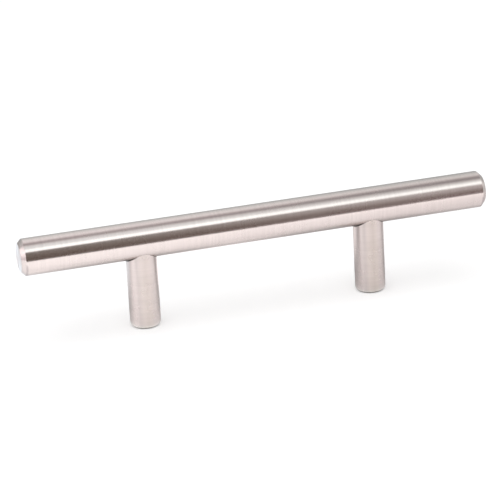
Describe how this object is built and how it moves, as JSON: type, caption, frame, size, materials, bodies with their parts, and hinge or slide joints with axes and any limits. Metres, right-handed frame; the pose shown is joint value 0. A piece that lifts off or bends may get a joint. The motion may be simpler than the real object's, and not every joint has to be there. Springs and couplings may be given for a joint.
{
  "type": "t bar cabinet pull",
  "caption": "Straight round bar pull with coped posts, screwed from behind to a drawer or cabinet door as its grip.",
  "frame": {"origin": "midway between the feet of the posts, on the surface that the pull is fixed to", "axes": "+X along the bar, +Z from that surface out to the bar, +Y across the bar"},
  "size_m": [0.155, 0.012, 0.035],
  "materials": {
    "satin_nickel": "satin nickel plate over steel, with a fine brushed grain",
    "plain_steel": "plain zinc-coated steel"
  },
  "bodies": {
    "root": {"bar": "satin_nickel", "left_post": "satin_nickel", "right_post": "satin_nickel", "left_stud": "plain_steel", "right_stud": "plain_steel"}
  },
  "joints": []
}
